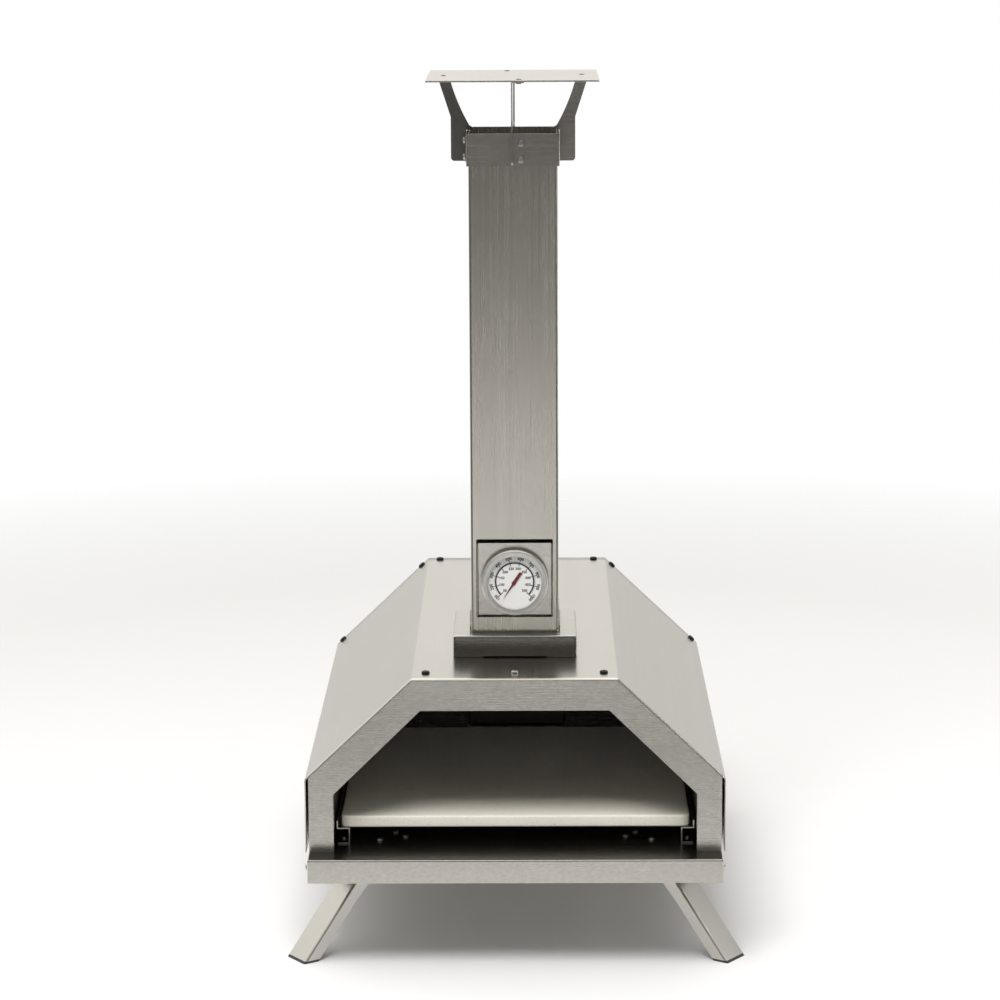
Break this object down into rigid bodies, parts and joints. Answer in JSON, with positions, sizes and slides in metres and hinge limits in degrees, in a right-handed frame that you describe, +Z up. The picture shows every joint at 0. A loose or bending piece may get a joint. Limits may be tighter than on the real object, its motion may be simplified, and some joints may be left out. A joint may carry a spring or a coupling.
{
  "type": "wood fired pizza oven",
  "caption": "Portable wood fired pizza oven: chamfered steel body on folding legs, stone on rails, square chimney with thermometer and lift-off cap, fuel hopper behind.",
  "frame": {"origin": "on the ground, in the middle of the oven's length and width", "axes": "+Z up, the mouth faces -Y, +X to the right seen from the front"},
  "size_m": [0.4466, 0.69, 0.8492],
  "materials": {
    "brushed_steel": "brushed stainless steel",
    "roof_steel": "fine brushed stainless steel",
    "chimney_steel": "vertically brushed stainless steel",
    "dark_steel": "heat-darkened steel",
    "black_screw": "black oxide",
    "zinc_screw": "bright zinc plate",
    "stone": "unglazed cordierite",
    "board": "ceramic fibre board",
    "shoe": "moulded black plastic",
    "bezel": "polished stainless steel",
    "dial": "printed white enamel",
    "needle": "dark red lacquer",
    "lens": "clear glass"
  },
  "bodies": {
    "oven": {"base_tray": "brushed_steel", "plain_screws": "zinc_screw", "stone_rail_left": "brushed_steel", "stone_rail_right": "brushed_steel", "rail_screws": "zinc_screw", "leg_bracket_screws": "zinc_screw", "outer_shell": "roof_steel", "inner_liner": "dark_steel", "insulation_boards": "board", "front_panel": "brushed_steel", "rear_panel": "brushed_steel", "cover_screws": "black_screw", "chimney_collar": "brushed_steel", "flue_duct": "dark_steel", "burner_housing": "brushed_steel", "hopper_body": "brushed_steel", "hopper_hinge_pin": "zinc_screw", "rear_screws": "zinc_screw", "leg_bracket_front_left": "dark_steel", "leg_bracket_front_right": "dark_steel", "leg_bracket_rear_left": "dark_steel", "leg_bracket_rear_right": "dark_steel", "leg_pin_front_left": "zinc_screw", "leg_pin_front_right": "zinc_screw", "leg_pin_rear_left": "zinc_screw", "leg_pin_rear_right": "zinc_screw"},
    "stone": {"baking_stone": "stone"},
    "chimney": {"chimney_tube": "chimney_steel", "gauge_plate": "brushed_steel", "gauge_case": "brushed_steel", "gauge_bezel": "bezel", "gauge_lens": "lens", "gauge_dial": "dial", "gauge_stem": "brushed_steel", "gauge_nut": "zinc_screw"},
    "needle": {"gauge_needle": "needle"},
    "cap": {"cap_band": "brushed_steel", "cap_bracket_front": "brushed_steel", "cap_bracket_right": "brushed_steel", "cap_bracket_rear": "brushed_steel", "cap_bracket_left": "brushed_steel", "cap_plate": "brushed_steel", "cap_screws": "zinc_screw", "cap_rivets": "zinc_screw"},
    "hopper_lid": {"hopper_lid": "brushed_steel", "hopper_lid_handle": "brushed_steel", "lid_rivets": "zinc_screw"},
    "fuel_tray": {"fuel_tray": "dark_steel", "fuel_grate": "dark_steel", "tray_face": "brushed_steel", "tray_handle": "bezel", "tray_handle_nuts": "zinc_screw"},
    "leg_front_left": {"leg_front_left": "brushed_steel", "leg_foot_front_left": "shoe"},
    "leg_front_right": {"leg_front_right": "brushed_steel", "leg_foot_front_right": "shoe"},
    "leg_rear_left": {"leg_rear_left": "brushed_steel", "leg_foot_rear_left": "shoe"},
    "leg_rear_right": {"leg_rear_right": "brushed_steel", "leg_foot_rear_right": "shoe"}
  },
  "joints": [
    {"name": "stone_slide", "type": "slide", "parent": "oven", "child": "stone", "axis": [0, -1, 0], "range_m": [0, 0.36]},
    {"name": "chimney_lift", "type": "slide", "parent": "oven", "child": "chimney", "axis": [0, 0, 1], "range_m": [0, 0.06]},
    {"name": "cap_lift", "type": "slide", "parent": "chimney", "child": "cap", "axis": [0, 0, 1], "range_m": [0, 0.045]},
    {"name": "needle_turn", "type": "hinge", "parent": "chimney", "child": "needle", "pos_m": [0, -0.2138, 0.3558], "axis": [0, 1, 0], "range_deg": [0, 266]},
    {"name": "lid_hinge", "type": "hinge", "parent": "oven", "child": "hopper_lid", "pos_m": [0, 0.319, 0.234], "axis": [-1, 0, 0], "range_deg": [0, 105]},
    {"name": "fuel_tray_slide", "type": "slide", "parent": "oven", "child": "fuel_tray", "axis": [0, 1, 0], "range_m": [0, 0.2]},
    {"name": "leg_front_left_fold", "type": "hinge", "parent": "oven", "child": "leg_front_left", "pos_m": [-0.1375, -0.257, 0.101], "axis": [0.5807, -0.8141, 0], "range_deg": [0, 129]},
    {"name": "leg_front_right_fold", "type": "hinge", "parent": "oven", "child": "leg_front_right", "pos_m": [0.1375, -0.257, 0.101], "axis": [0.5807, 0.8141, 0], "range_deg": [0, 129]},
    {"name": "leg_rear_left_fold", "type": "hinge", "parent": "oven", "child": "leg_rear_left", "pos_m": [-0.1375, 0.167, 0.101], "axis": [-0.5807, -0.8141, 0], "range_deg": [0, 129]},
    {"name": "leg_rear_right_fold", "type": "hinge", "parent": "oven", "child": "leg_rear_right", "pos_m": [0.1375, 0.167, 0.101], "axis": [-0.5807, 0.8141, 0], "range_deg": [0, 129]}
  ]
}
